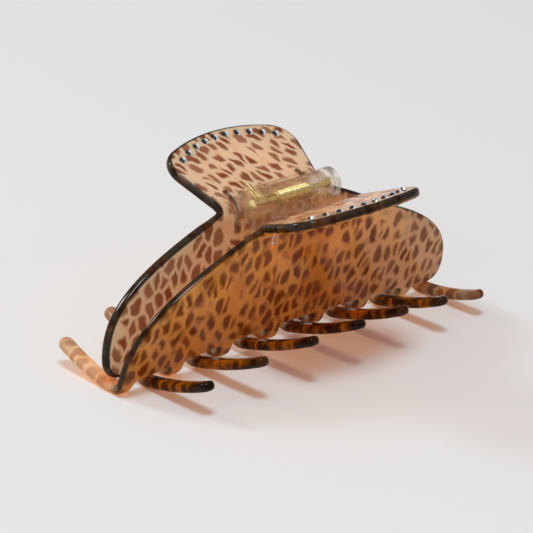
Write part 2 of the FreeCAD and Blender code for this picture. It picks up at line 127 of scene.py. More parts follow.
class ClipSheetSizes(bpy.types.PropertyGroup):
    """The sheet of a jaw, its bends and its outline."""

    thick: length_prop("Thickness", "Thickness of the sheet", 2.3)
    rim_round: length_prop("Rim rounding", "Radius that tumbling leaves on the rim", 0.92)
    foot_out: length_prop("Foot offset", "Foot of the body from the middle plane", 1.5)
    foot_rise: length_prop("Foot height", "Foot of the body above the floor", 2.4)
    foot_lean: angle_prop("Foot lean", "Lean of the body from upright at its foot", 13.3)
    body_turn: angle_prop("Body turn", "Whole turn of the body's slow curve", 8.87)
    body_run: length_prop("Body run", "Sheet from the foot to the waist corner", 31.8)
    waist_bend: length_prop("Waist bend", "Radius of the bend at the waist", 4.0)
    handle_angle: angle_prop("Handle angle", "Rise of the handle from level", 24.0)
    handle_run: length_prop("Handle run", "Sheet from the waist corner to the crown", 22.0)
    waist_half: length_prop("Half waist", "Half of the width at the waist", 16.7)
    tooth_end: length_prop("Tooth end", "End beside the last tooth from the middle", 52.5)
    tooth_end_dome: bpy.props.FloatProperty(
        name="Tooth end dome", description="How square the shoulder over the last tooth is", default=2.75
    )
    free_end_dome: bpy.props.FloatProperty(
        name="Free end dome", description="How square the shoulder at the free end is", default=3.15
    )
    dome_edge: bpy.props.FloatProperty(
        name="Dome edge", description="How a dome runs into the waist", default=1.14
    )
    edge_rise: length_prop("Edge height", "Lower edge above the floor at the ends", 2.6)
    edge_arch: length_prop("Edge arch", "Rise of the lower edge at the middle", 3.1)
    free_corner: length_prop("Free corner", "Radius of the corner without a tooth", 4.0)
    ear_across: length_prop("Ear across", "Centre of an ear from the middle", 13.8)
    ear_along: length_prop("Ear along", "Centre of an ear from the waist", 13.3)
    ear_radius: length_prop("Ear radius", "Radius of an ear", 6.4)


class ClipToothSizes(bpy.types.PropertyGroup):
    """The teeth along the lower edge of a jaw."""

    count: bpy.props.IntProperty(name="Count", description="Teeth on a jaw", default=7)
    pitch: length_prop("Pitch", "From one tooth to the next", 15.5)
    shift: length_prop("Shift", "Middle tooth from the middle of the clip", 4.1)
    width: length_prop("Width", "Width of a tooth", 3.8)
    depth: length_prop("Depth", "Thickness of a tooth", 2.2)
    bend: length_prop("Bend", "Radius where a tooth leaves the body", 2.2)
    lift: length_prop("Lift", "Rise of the bends at the middle", 1.3)
    slope: angle_prop("Slope", "Slope of the middle tooth where its bend ends", 15.0)
    root: length_prop("Root", "Radius in the corner beside a tooth", 1.1)
    tip_out: length_prop("Reach", "Tip of the middle tooth from the middle plane", 22.4)
    tip_out_loss: length_prop("Reach loss", "How much less the outer teeth reach", 3.7)
    tip_rise: length_prop("Tip height", "Height of the outer tips", 5.2)
    tip_arch: length_prop("Tip arch", "Rise of the tips at the middle", 6.4)


class ClipHingeSizes(bpy.types.PropertyGroup):
    """The pin, the spring and the slots that the hinge leaves hold on to."""

    slot_across: length_prop("Slot across", "Slots from the middle", 12.0)
    slot_width: length_prop("Slot width", "Width of a slot", 1.2)
    slot_down: length_prop("Slot down", "Slot below the waist corner", 5.6)
    slot_up: length_prop("Slot up", "Slot above the waist corner", 4.4)
    pin_radius: length_prop("Pin radius", "Radius of the pin", 0.6)
    pin_head: length_prop("Pin head", "Radius of the pin's heads", 1.2)
    pin_head_deep: length_prop("Pin head depth", "Thickness of the pin's heads", 0.5)
    wire: length_prop("Wire", "Thickness of the spring wire", 0.8)
    coil_mean: length_prop("Coil radius", "Radius of the coil at the wire's middle", 1.12)
    coil_half: length_prop("Half coil", "Half of the coil's length", 5.2)
    coil_whole_turns: bpy.props.IntProperty(
        name="Whole turns", description="Whole turns of the coil", default=12
    )
    near_leg_angle: angle_prop("Near leg angle", "Where the near leg leaves the coil", 65.0)
    near_leg_out: length_prop("Near leg", "Length of the near leg's free end", 5.6)
    far_leg_angle: angle_prop("Far leg angle", "Where the far leg leaves the coil", 232.0)
    far_leg_radius: length_prop("Far leg offset", "Far leg from the pin's axis", 2.0)
    far_leg_out: length_prop("Far leg", "Length of the far leg's free end", 1.2)
    lane: length_prop("Lane", "Gap between the knuckles from the middle", 10.1)


class ClipStoneSizes(bpy.types.PropertyGroup):
    """The rows of stones along the handles."""

    count: bpy.props.IntProperty(name="Count", description="Stones on a handle", default=10)
    row_half: length_prop("Half row", "Last stone from the middle", 15.4)
    row_top: length_prop("Row height", "Middle of the row from the waist corner", 19.6)
    row_radius: length_prop("Row radius", "Radius of the row", 33.0)
    girdle: length_prop("Girdle", "Radius of a stone", 0.95)
    table: length_prop("Table", "Radius of the flat top of a stone", 0.5)
    high: length_prop("Height", "Height of a stone", 1.1)
    seat_deep: length_prop("Seat depth", "Depth of the drilled seat", 0.5)
    seat_play: length_prop("Seat play", "Gap round a stone in its seat", 0.03)


class ClipColours(bpy.types.PropertyGroup):
    """Colours of the clip's finishes."""

    # Cream and amber paint one ground lit and shaded: cream the lit hinge-side faces, amber the outer
    # faces in shade and lit through from behind. Both also colour deep chips and pale teeth.
    cream: colour_prop("Cream", "Ground colour of the inner faces", (0.95, 0.77, 0.53))
    amber: colour_prop("Amber", "Ground colour of the outer faces", (0.95, 0.46, 0.125))
    # Rust and umber paint the chips lit on the hinge side and shaded outside.
    rust: colour_prop("Rust", "Chips on the inner faces", (0.27, 0.050, 0.008))
    umber: colour_prop("Umber", "Chips on the outer faces", (0.20, 0.038, 0.005))
    bark: colour_prop("Bark", "Dark bands of the teeth", (0.045, 0.012, 0.003))
    # Flame paints random clouds, the teeth's marbling, and the glow of light through the sheet at the
    # outer faces' foot.
    flame: colour_prop("Flame", "Orange clouds deep in the sheet", (0.55, 0.17, 0.012))
    # Rim and ember paint the shade of light absorbed along the sheet's edge; rim also darkens the tooth
    # tips.
    rim: colour_prop("Rim", "Polished rim", (0.010, 0.0035, 0.0015))
    ember: colour_prop("Ember", "Brown glimpses in the rim", (0.10, 0.028, 0.006))
    clear: colour_prop("Clear plastic", "Tint of the hinge leaves", (0.99, 0.97, 0.93))
    gilt: colour_prop("Gilt", "Spring and pin", (0.95, 0.76, 0.34))
    # Crystal and the dark stone colour paint the facets' glints and reflections.
    crystal: colour_prop("Crystal", "Bright facets of the stones", (0.97, 0.98, 1.0))
    painted_dark_reflection: colour_prop("Foil", "Dark facets of the stones", (0.03, 0.035, 0.04))
    shadow: colour_prop("Shadow", "Light that the sheet lets through", (1.0, 0.68, 0.44))


class ClipStageSizes(bpy.types.PropertyGroup):
    """Floor, lights and camera."""

    azimuth: angle_prop("Azimuth", "Camera round the clip", -48.54)
    elevation: angle_prop("Elevation", "Camera above the floor", 23.32)
    roll: angle_prop("Roll", "Camera turned about its own line of sight", 6.08)
    distance: length_prop("Distance", "Camera from its target", 800.4)
    lens: bpy.props.FloatProperty(name="Lens", description="Focal length in mm", default=234.7)
    aim_right: bpy.props.FloatProperty(
        name="Aim right", description="Target right of the clip's middle", default=-3.84 * MM
    )
    aim_up: bpy.props.FloatProperty(
        name="Aim up", description="Target above the clip's middle", default=-1.85 * MM
    )
    aim_rise: length_prop("Aim height", "Height of the clip's middle", 20.0)
    floor: colour_prop("Floor", "Floor", (0.76, 0.755, 0.75))


# ---- the sheet -----------------------------------------------------------------------------------


def walk(y, z, heading, length, turn):
    """End of a run of the given length that turns evenly: its chord is length * sinc(turn / 2)."""
    chord = length * np.sinc(turn / (2 * np.pi))
    middle = heading + turn / 2
    return y + chord * np.cos(middle), z + chord * np.sin(middle), heading + turn


def arch(x):
    """One at the middle of the clip and nought at its ends: 1 - (2 x / length) squared."""
    return 1 - (2 * x / CLIP_LENGTH) ** 2


def ease(value, low, high):
    """Smooth step from 0 at low to 1 at high."""
    share = np.clip((value - low) / (high - low), 0, 1)
    return share * share * (3 - 2 * share)


class Sheet:
    """Maps the flat sheet to its moulded shape, and knows its outline."""

    def __init__(self, sizes, teeth, hinge, stones):
        self.s = sizes
        self.t = teeth
        self.h = hinge
        self.stones = stones
        self.upright = math.pi / 2 - sizes.foot_lean
        self.bend_turn = self.upright + sizes.body_turn - sizes.handle_angle
        self.tangent = sizes.waist_bend * math.tan(self.bend_turn / 2)
        self.body_end = sizes.body_run - self.tangent
        self.body_radius = self.body_end / sizes.body_turn
        middle = (teeth.count - 1) / 2
        self.places = teeth.shift + (np.arange(teeth.count) - middle) * teeth.pitch

    def edge(self, x):
        """Where the lower edge between the teeth lies, up the sheet."""
        rise = self.s.edge_rise + self.s.edge_arch * arch(x) - self.s.foot_rise
        return rise / math.cos(self.s.foot_lean)

    def bend_start(self, x):
        """Where a tooth starts to bend, up the sheet, and the turn of that bend.

        The bends rise with lift * arch squared from the last tooth's, which rests on the floor.
        """
        lowest = (arch(self.places) ** 2).min()
        bottom = self.t.depth / 2 + self.t.lift * (arch(x) ** 2 - lowest)
        rise = bottom + self.t.bend * (1 - math.cos(self.upright))
        start = (rise - self.s.foot_rise) / math.sin(self.upright)
        slope = self.t.slope * (1 - (2 * x / CLIP_LENGTH) ** 4)
        return start, self.upright + start / self.body_radius + slope

    def curl(self, x):
        """Length and turn of a tooth's last arc, which passes through its tip."""
        start, turn = self.bend_start(x)
        y, z, heading = self.body(start)
        y, z, heading = walk(y, z, heading + math.pi, self.t.bend * turn, -turn)
        run = y + self.t.tip_out - self.t.tip_out_loss * (1 - arch(x))
        rise = self.t.tip_rise + self.t.tip_arch * arch(x) - z
        half_curl = np.arctan2(rise, run) - (math.pi - heading)
        return np.hypot(run, rise) / np.sinc(half_curl / np.pi), 2 * half_curl

    def tip(self, x):
        start, turn = self.bend_start(x)
        length, _ = self.curl(x)
        return start - self.t.bend * turn - length

    def body(self, w):
        return walk(self.s.foot_out, self.s.foot_rise, self.upright, w, w / self.body_radius)

    def mould(self, x, w, lift):
        """Place of a point of the flat sheet, `lift` towards the hinge from the sheet's middle.

        The sheet's middle is a chain of arcs across the clip: tooth curl, tooth bend, body, waist
        bend and straight handle. Each point walks along that chain and then steps square to it.
        """
        near = self.t.shift + np.round((x - self.t.shift) / self.t.pitch) * self.t.pitch
        own = ease(w, self.edge(x) - 2.5 * MM, self.edge(x) - 0.2 * MM)
        across = near + (x - near) * own
        start, turn = self.bend_start(across)
        y, z, heading = self.body(np.clip(w, start, self.body_end))
        share = np.clip((w - self.body_end) / (2 * self.tangent), 0, 1)
        y, z, heading = walk(
            y, z, heading, share * self.s.waist_bend * self.bend_turn, -share * self.bend_turn
        )
        past = np.maximum(w - self.body_end - 2 * self.tangent, 0)
        y, z, heading = walk(y, z, heading, past, np.zeros_like(past))
        down = np.maximum(start - w, 0)
        first = np.minimum(down, self.t.bend * turn)
        y, z, heading = walk(y, z, heading + math.pi, first, -first / self.t.bend)
        length, curl = self.curl(across)
        second = down - first
        y, z, heading = walk(y, z, heading, second, -second * curl / length)
        heading = heading - math.pi
        return np.stack([x, y - lift * np.sin(heading), z + lift * np.cos(heading)], axis=-1)

    def half_thick(self, x, w):
        """Half of the thickness, which tumbling wears down a little on the teeth."""
        worn = 1 - ease(w, self.edge(x) - 2.0 * MM, self.edge(x))
        return self.s.thick / 2 + worn * (self.t.depth - self.s.thick) / 2

    def shoulder(self, end, power):
        """Points up one side of the body: waist + (end - waist) * (1 - up^power)^dome_edge."""
        up = np.linspace(0.02, 1, 90)
        foot = self.edge(end)
        waist = self.s.waist_half
        dome = waist + (end - waist) * (1 - up**power) ** self.s.dome_edge
        return list(zip(dome, foot + up * (self.s.body_run - foot), np.zeros_like(up)))

    def outline(self):
        """Closed outline of the flat sheet, anticlockwise, with its corners rounded."""
        s, t = self.s, self.t
        free_end = CLIP_LENGTH / 2
        points = [(-free_end, self.edge(free_end), s.free_corner)]
        for x in self.places:
            side = t.width / 2
            tip = self.tip(x)
            if x - side > -free_end + MM:
                points.append((x - side, self.edge(x - side), t.root))
            points.append((x - side, tip, TIP_ROUND * side))
            points.append((x + side, tip, TIP_ROUND * side))
            if x + side < s.tooth_end - MM:
                points.append((x + side, self.edge(x + side), t.root))
        handle = self.handle_side()
        points += self.shoulder(s.tooth_end, s.tooth_end_dome) + handle
        left = self.shoulder(free_end, s.free_end_dome) + handle[:-1]
        clear = self.edge(free_end) + CLEAR_OF_CORNER * s.free_corner
        points += [(-x, w, 0) for x, w, _ in left[::-1] if w > clear]
        return even_loop(round_corners(points), OUTLINE_STEP)

    def handle_side(self):
        """Right half of the handle's outline: flared side, ear and half of the crown."""
        s = self.s
        ear = np.array([s.ear_across, s.ear_along])
        to_ear = ear - [s.waist_half, 0]
        reach = np.hypot(*to_ear)
        side = math.atan2(to_ear[1], to_ear[0]) - math.asin(s.ear_radius / reach)
        rise = s.handle_run - s.ear_along
        crown = (s.ear_across**2 + rise**2 - s.ear_radius**2) / (2 * (rise - s.ear_radius))
        low = s.handle_run - crown
        meet = math.atan2(s.ear_along - low, s.ear_across)
        ear_turn = np.linspace(side - math.pi / 2, meet, 40)
        crown_turn = np.linspace(meet, math.pi / 2, 30)[1:]
        xs = np.r_[ear[0] + s.ear_radius * np.cos(ear_turn), crown * np.cos(crown_turn)]
        ws = np.r_[ear[1] + s.ear_radius * np.sin(ear_turn), low + crown * np.sin(crown_turn)]
        return [(x, s.body_run + w, 0) for x, w in zip(xs, ws)]

    def slots(self):
        """Outlines of the two slots over the waist, each a bar with round ends."""
        h = self.h
        radius = h.slot_width / 2
        low = self.s.body_run - h.slot_down + radius
        high = self.s.body_run + h.slot_up - radius
        loops = []
        for x in (-h.slot_across, h.slot_across):
            turn = np.linspace(0, math.pi, 9)
            top = np.stack([x + radius * np.cos(turn), high + radius * np.sin(turn)], axis=-1)
            bottom = np.stack([x - radius * np.cos(turn), low - radius * np.sin(turn)], axis=-1)
            loops.append(even_loop(np.vstack([top, bottom]), 0.3 * MM))
        return loops

    def seats(self):
        """Centres of the stones' seats in the flat sheet, on one shallow arc."""
        row = self.stones
        end = math.asin(row.row_half / row.row_radius)
        turn = np.linspace(-end, end, row.count)
        along = row.row_top - row.row_radius * (1 - np.cos(turn))
        return np.stack([row.row_radius * np.sin(turn), self.s.body_run + along], axis=-1)


def round_corners(points):
    """Replaces each corner (x, w, radius) of a closed outline by an arc of that radius."""
    pts = np.array([p[:2] for p in points])
    out = []
    for k, (_, _, radius) in enumerate(points):
        here = pts[k]
        if radius == 0:
            out.append(here[None])
            continue
        a = pts[k - 1] - here
        b = pts[(k + 1) % len(pts)] - here
        a /= np.hypot(*a)
        b /= np.hypot(*b)
        half = math.acos(np.clip(a @ b, -1, 1)) / 2
        way = (a + b) / np.hypot(*(a + b))
        centre = here + way * radius / math.sin(half)
        first = here + a * radius / math.tan(half) - centre
        last = here + b * radius / math.tan(half) - centre
        start = math.atan2(first[1], first[0])
        swing = (math.atan2(last[1], last[0]) - start + math.pi) % (2 * math.pi) - math.pi
        turn = start + np.linspace(0, 1, 14) * swing
        out.append(centre + radius * np.stack([np.cos(turn), np.sin(turn)], axis=-1))
    return np.vstack(out)


def even_loop(points, step):
    """The same closed outline with points at even steps along it."""
    closed = np.vstack([points, points[:1]])
    run = np.r_[0, np.cumsum(np.hypot(*np.diff(closed, axis=0).T))]
    count = max(int(round(run[-1] / step)), 8)
    at = np.linspace(0, run[-1], count, endpoint=False)
    return np.stack([np.interp(at, run, closed[:, 0]), np.interp(at, run, closed[:, 1])], axis=-1)


def inward(loop):
    """Unit vectors square to an anticlockwise outline, towards its inside."""
    along = np.roll(loop, -1, axis=0) - np.roll(loop, 1, axis=0)
    along /= np.hypot(*along.T)[:, None]
    return np.stack([-along[:, 1], along[:, 0]], axis=-1)


def inside(loop, points):
    """Whether each point is inside a closed outline, by counting the edges to its right."""
    a = loop
    b = np.roll(loop, -1, axis=0)
    x, w = points[:, 0, None], points[:, 1, None]
    spans = (a[:, 1] > w) != (b[:, 1] > w)
    slope = (b[:, 0] - a[:, 0]) / np.where(b[:, 1] == a[:, 1], 1e-12, b[:, 1] - a[:, 1])
    return (spans & (x < a[:, 0] + (w - a[:, 1]) * slope)).sum(axis=1) % 2 == 1


def away(loop, points):
    """Distance from each point to the nearest point of an outline."""
    out = np.empty(len(points))
    for start in range(0, len(points), 2000):
        part = points[start : start + 2000]
        gap = part[:, None, :] - loop[None, :, :]
        out[start : start + 2000] = np.sqrt((gap**2).sum(axis=2).min(axis=1))
    return out


def grid_inside(outer, holes, step, clear):
    """Staggered grid of points inside the outer outline and clear of it and of the holes."""
    low = outer.min(axis=0)
    high = outer.max(axis=0)
    rows = np.arange(low[1], high[1], step * 0.87)
    points = []
    for k, w in enumerate(rows):
        xs = np.arange(low[0] + (k % 2) * step / 2, high[0], step)
        points.append(np.stack([xs, np.full_like(xs, w)], axis=-1))
    points = np.vstack(points)
    points = points[inside(outer, points)]
    points = points[away(outer, points) > clear]
    for hole in holes:
        middle = (hole.min(axis=0) + hole.max(axis=0)) / 2
        reach = np.abs(hole - middle).max(axis=0) + clear
        beside = (np.abs(points - middle) > reach).any(axis=1)
        points = points[beside | ((away(hole, points) > clear) & ~inside(hole, points))]
    return points


def fill(outer, holes, step):
    """Triangles of the face inside an outline and outside its holes, by Delaunay's rule."""
    loops = [outer] + holes
    free = grid_inside(outer, holes, step, 0.45 * step)
    points = np.vstack(loops + [free])
    edges = []
    first = 0
    for loop in loops:
        index = np.arange(len(loop)) + first
        edges += np.stack([index, np.roll(index, -1)], axis=-1).tolist()
        first += len(loop)
    scaled = [Vector(p) for p in (points / MM).tolist()]
    verts, _, faces, origin, _, _ = delaunay_2d_cdt(scaled, edges, [], 1, 1e-5)
    verts = np.array(verts) * MM
    faces = np.array([f for f in faces if len(f) == 3])
    middle = verts[faces].mean(axis=1)
    keep = inside(outer, middle)
    for hole in holes:
        keep &= ~inside(hole, middle)
    faces = faces[keep]
    a, b, c = verts[faces[:, 0]], verts[faces[:, 1]], verts[faces[:, 2]]
    area = (b[:, 0] - a[:, 0]) * (c[:, 1] - a[:, 1]) - (b[:, 1] - a[:, 1]) * (c[:, 0] - a[:, 0])
    faces[area < 0] = faces[area < 0][:, ::-1]
    return verts, faces


def quads_between(low, high, size):
    """Quads that join a closed ring of points to the next one, from their first numbers."""
    index = np.arange(size)
    beyond = np.roll(index, -1)
    return np.stack([index + low, index + high, beyond + high, beyond + low], axis=-1)


class Shell:
    """Gathers the faces of a jaw in the flat sheet: x, w, lift and distance from the rim."""

    def __init__(self):
        self.rows = []
        self.faces = []
        self.count = 0

    def add(self, points, lift, depth, faces):
        """Adds points at a lift, with their distance from the rim, and faces that use them."""
        lift = np.broadcast_to(lift, len(points))
        depth = np.broadcast_to(depth, len(points))
        self.rows.append(np.column_stack([points, lift, depth]))
        for face in faces:
            self.faces.append(face + self.count)
        self.count += len(points)

    def band(self, rings):
        """Joins rings of (points, lift, depth) by quads, the first ring on the hinge side."""
        size = len(rings[0][0])
        quads = [quads_between(k * size, (k + 1) * size, size) for k in range(len(rings) - 1)]
        points = np.vstack([r[0] for r in rings])
        lift = np.concatenate([np.broadcast_to(r[1], size) for r in rings])
        depth = np.concatenate([np.broadcast_to(r[2], size) for r in rings])
        self.add(points, lift, depth, quads)


def rim_rings(sheet, loop, radius, side, depth=None):
    """Rounded rim carried along an outline: two quarter circles joined by a short flat."""
    square = inward(loop) * side
    rings = []
    for turn in np.linspace(0, math.pi / 2, 7):
        in_from_rim = radius * (1 - math.sin(turn))
        points = loop + square * in_from_rim
        lift = sheet.half_thick(points[:, 0], points[:, 1]) - radius * (1 - math.cos(turn))
        rings.append((points, lift, in_from_rim if depth is None else depth))
    return rings + [(points, -lift, depth) for points, lift, depth in rings[::-1]]


def jaw_shell(sheet):
    """Both faces, the rim, the slots' walls and the stones' seats of one jaw, in the flat sheet."""
    shell = Shell()
    outer = sheet.outline()
    slots = sheet.slots()
    rim = rim_rings(sheet, outer, sheet.s.rim_round, 1)
    shell.band(rim)
    walls = [rim_rings(sheet, loop, SLOT_ROUND, -1, SLOT_DEPTH) for loop in slots]
    for wall in walls:
        shell.band([(p[::-1], np.broadcast_to(q, len(p))[::-1], d) for p, q, d in wall])
    stones = sheet.stones
    turn = np.linspace(0, 2 * math.pi, 24, endpoint=False)
    ring = np.stack([np.cos(turn), np.sin(turn)], axis=-1) * (stones.girdle + stones.seat_play)
    seats = [centre + ring for centre in sheet.seats()]
    holes = [wall[0][0] for wall in walls]
    for side in (1, -1):
        extra = seats if side > 0 else []
        points, faces = fill(rim[0][0], holes + extra, FACE_STEP)
        lift = side * sheet.half_thick(points[:, 0], points[:, 1])
        depth = np.minimum(away(outer, points), PLATE_DEPTH)
        shell.add(points, lift, depth, [faces if side > 0 else faces[:, ::-1]])
    top = sheet.s.thick / 2
    floor = top - stones.seat_deep
    index = np.arange(len(turn))
    for centre, seat in zip(sheet.seats(), seats):
        shell.band([(seat[::-1], top, PLATE_DEPTH), (seat[::-1], floor, PLATE_DEPTH)])
        fan = np.stack([index, np.roll(index, -1), np.full_like(index, len(turn))], axis=-1)
        shell.add(np.vstack([seat, centre]), floor, PLATE_DEPTH, [fan])
    return shell


# ---- meshes --------------------------------------------------------------------------------------


def new_mesh(name, points, faces, smooth=True):
    """A mesh object at the origin from arrays of points and of lists of corner numbers."""
    mesh = bpy.data.meshes.new(name)
    mesh.from_pydata(np.asarray(points).tolist(), [], [list(map(int, f)) for f in faces])
    mesh.polygons.foreach_set("use_smooth", np.full(len(mesh.polygons), smooth))
    mesh.update()
    piece = bpy.data.objects.new(name, mesh)
    bpy.context.scene.collection.objects.link(piece)
    return piece


def merge(piece, distance):
    """Joins points closer than the distance."""
    work = bmesh.new()
    work.from_mesh(piece.data)
    bmesh.ops.remove_doubles(work, verts=work.verts, dist=distance)
    work.to_mesh(piece.data)
    work.free()


def half_turn(points):
    """Half a turn about the vertical axis."""
    return points * np.array([-1.0, -1.0, 1.0])


def tube(path, radius, around=14):
    """Round wire along a path: rings square to the path, turned as little as possible between
    points, with hemispherical ends."""
    along = np.gradient(path, axis=0)
    along /= np.linalg.norm(along, axis=1)[:, None]
    side = np.cross(along[0], [0.0, 0.31, 0.95])
    side /= np.linalg.norm(side)
    sides = [side]
    for way in along[1:]:
        side = side - way * (side @ way)
        side = side / np.linalg.norm(side)
        sides.append(side)
    sides = np.array(sides)
    third = np.cross(along, sides)
    turn = np.linspace(0, 2 * math.pi, around, endpoint=False)
    cap = np.linspace(0, math.pi / 2, 5)[1:]
    starts = [(path[0] - along[0] * radius * math.sin(c), radius * math.cos(c), 0) for c in cap[::-1]]
    ends = [(path[-1] + along[-1] * radius * math.sin(c), radius * math.cos(c), -1) for c in cap]
    rings = starts + [(p, radius, k) for k, p in enumerate(path)] + ends
    points = np.vstack(
        [
            centre + size * (np.cos(turn)[:, None] * sides[k] + np.sin(turn)[:, None] * third[k])
            for centre, size, k in rings
        ]
    )
    quads = [quads_between(k * around, (k + 1) * around, around) for k in range(len(rings) - 1)]
    return points, np.vstack(quads)[:, [0, 3, 2, 1]].tolist()


def lathe(profile, steps, centre):
    """Turns a profile of (x, radius) points about a line along X through the centre."""
    turn = np.linspace(0, 2 * math.pi, steps, endpoint=False)
    xs, radii = np.asarray(profile).T
    points = np.stack(
        [
            np.repeat(xs, steps),
            np.outer(radii, np.cos(turn)).ravel(),
            np.outer(radii, np.sin(turn)).ravel(),
        ],
        axis=-1,
    ) + np.asarray(centre)
    quads = [quads_between(k * steps, (k + 1) * steps, steps) for k in range(len(xs) - 1)]
    return points, np.vstack(quads).tolist()


# ---- shader helpers ------------------------------------------------------------------------------


def feed(tree, node, inputs):
    """Sets a node's inputs, by name or number, or links the ones given as sockets."""
    for key, value in inputs.items():
        if isinstance(value, bpy.types.NodeSocket):
            tree.links.new(value, node.inputs[key])
        else:
            node.inputs[key].default_value = value


def add_node(tree, kind, inputs=None, **settings):
    """A shader node with its settings and its inputs."""
    node = tree.nodes.new(kind)
    for key, value in settings.items():
        setattr(node, key, value)
    feed(tree, node, inputs or {})
    return node


def maths(tree, operation, *values, clamp=False):
    inputs = dict(enumerate(values))
    return add_node(tree, "ShaderNodeMath", inputs, operation=operation, use_clamp=clamp).outputs[0]


def vector_maths(tree, operation, first, second):
    return add_node(tree, "ShaderNodeVectorMath", {0: first, 1: second}, operation=operation).outputs[0]


def soft_step(tree, value, low, high, start=0.0, end=1.0):
    """Smooth step of a value from start at low to end at high."""
    inputs = {"Value": value, "From Min": low, "From Max": high, "To Min": start, "To Max": end}
    return add_node(tree, "ShaderNodeMapRange", inputs, interpolation_type="SMOOTHSTEP").outputs[0]


def blend_colours(tree, share, first, second, how="MIX"):
    node = add_node(tree, "ShaderNodeMix", data_type="RGBA", blend_type=how)
    first, second = (c if isinstance(c, bpy.types.NodeSocket) else (*c, 1.0) for c in (first, second))
    feed(tree, node, {0: share, 6: first, 7: second})
    return node.outputs[2]


def noise(tree, where, scale, detail=2.0, rough=0.5):
    inputs = {"Vector": where, "Scale": scale, "Detail": detail, "Roughness": rough}
    return add_node(tree, "ShaderNodeTexNoise", inputs).outputs["Fac"]


def new_group(name, sockets_in, sockets_out):
    """An empty shader group with its named inputs (name, kind, default) and outputs."""
    group = bpy.data.node_groups.new(name, "ShaderNodeTree")
    for label, kind, default in sockets_in:
        socket = group.interface.new_socket(label, in_out="INPUT", socket_type=kind)
        if default is not None:
            socket.default_value = default
    for label, kind in sockets_out:
        group.interface.new_socket(label, in_out="OUTPUT", socket_type=kind)
    return group


def use_group(tree, group, inputs):
    node = add_node(tree, "ShaderNodeGroup", node_tree=group)
    feed(tree, node, inputs)
    return node


def wear_group():
    """Handling marks: fine smudges that raise the roughness, and a very slight waviness."""
    if "handling_wear" in bpy.data.node_groups:
        return bpy.data.node_groups["handling_wear"]
    group = new_group(
        "handling_wear",
        [
            ("Where", "NodeSocketVector", None),
            ("Roughness", "NodeSocketFloat", 0.1),
            ("Smudge", "NodeSocketFloat", 0.1),
            ("Wave", "NodeSocketFloat", 0.1),
        ],
        [("Roughness", "NodeSocketFloat"), ("Normal", "NodeSocketVector")],
    )
    given = group.nodes.new("NodeGroupInput")
    result = group.nodes.new("NodeGroupOutput")
    smears = noise(group, given.outputs["Where"], 160.0, 4.0, 0.6)
    scratches = noise(group, given.outputs["Where"], 1400.0, 2.0, 0.5)
    marks = maths(group, "MULTIPLY", soft_step(group, smears, 0.45, 0.75), given.outputs["Smudge"])
    fine = maths(group, "MULTIPLY", soft_step(group, scratches, 0.55, 0.8), given.outputs["Smudge"])
    total = maths(group, "ADD", given.outputs["Roughness"], maths(group, "ADD", marks, fine))
    waves = noise(group, given.outputs["Where"], 220.0, 1.0, 0.4)
    bump = add_node(
        group,
        "ShaderNodeBump",
        {"Strength": given.outputs["Wave"], "Distance": 0.00004, "Height": waves},
    )
    group.links.new(total, result.inputs["Roughness"])
    group.links.new(bump.outputs[0], result.inputs["Normal"])
    return group


def chips_group():
    """Pigment chips: stretched polygons with soft edges, some of them left out.

    The chips are the cells of a warped Voronoi pattern, each drawn in by a gap and rounded off
    towards its corners, and a cell is coloured where its own random number is under the share.
    """
    if "pigment_chips" in bpy.data.node_groups:
        return bpy.data.node_groups["pigment_chips"]
    group = new_group(
        "pigment_chips",
        [
            ("Where", "NodeSocketVector", None),
            ("Turn", "NodeSocketFloat", 0.0),
            ("Stretch", "NodeSocketFloat", 2.0),
            ("Per Metre", "NodeSocketFloat", 400.0),
            ("Share", "NodeSocketFloat", 0.6),
            ("Gap", "NodeSocketFloat", 0.05),
            ("Softness", "NodeSocketFloat", 0.2),
        ],
        [("Chips", "NodeSocketFloat")],
    )
    given = group.nodes.new("NodeGroupInput")
    result = group.nodes.new("NodeGroupOutput")
    where = given.outputs["Where"]
    drift = add_node(group, "ShaderNodeTexNoise", {"Vector": where, "Scale": 330.0, "Detail": 1.5})
    centred = vector_maths(group, "SUBTRACT", drift.outputs["Color"], (0.5, 0.5, 0.5))
    shift = add_node(group, "ShaderNodeVectorMath", {0: centred, "Scale": 0.0022}, operation="SCALE")
    warped = vector_maths(group, "ADD", where, shift.outputs[0])
    turned = add_node(
        group,
        "ShaderNodeVectorRotate",
        {"Vector": warped, "Angle": given.outputs["Turn"]},
        rotation_type="Z_AXIS",
    )
    parts = add_node(group, "ShaderNodeSeparateXYZ", {0: turned.outputs[0]})
    slim = maths(group, "DIVIDE", parts.outputs["Y"], given.outputs["Stretch"])
    flat = add_node(group, "ShaderNodeCombineXYZ", {"X": parts.outputs["X"], "Y": slim}).outputs[0]
    placing = {"Vector": flat, "Scale": given.outputs["Per Metre"], "Randomness": 1.0}
    cells = add_node(group, "ShaderNodeTexVoronoi", placing, voronoi_dimensions="2D")
    borders = add_node(
        group,
        "ShaderNodeTexVoronoi",
        placing,
        voronoi_dimensions="2D",
        feature="DISTANCE_TO_EDGE",
    )
    pick = add_node(group, "ShaderNodeSeparateColor", {0: cells.outputs["Color"]})
    chosen = maths(group, "LESS_THAN", pick.outputs[0], given.outputs["Share"])
    full = maths(group, "ADD", given.outputs["Gap"], given.outputs["Softness"])
    drawn = soft_step(group, borders.outputs["Distance"], given.outputs["Gap"], full)
    rounded = soft_step(group, cells.outputs["Distance"], 0.38, 0.66, 1.0, 0.0)
    drawn = maths(group, "MULTIPLY", drawn, rounded)
    uneven = maths(group, "MULTIPLY_ADD", pick.outputs[1], 0.22, 0.78)
    chips = maths(group, "MULTIPLY", maths(group, "MULTIPLY", chosen, drawn), uneven)
    group.links.new(chips, result.inputs["Chips"])
    return group


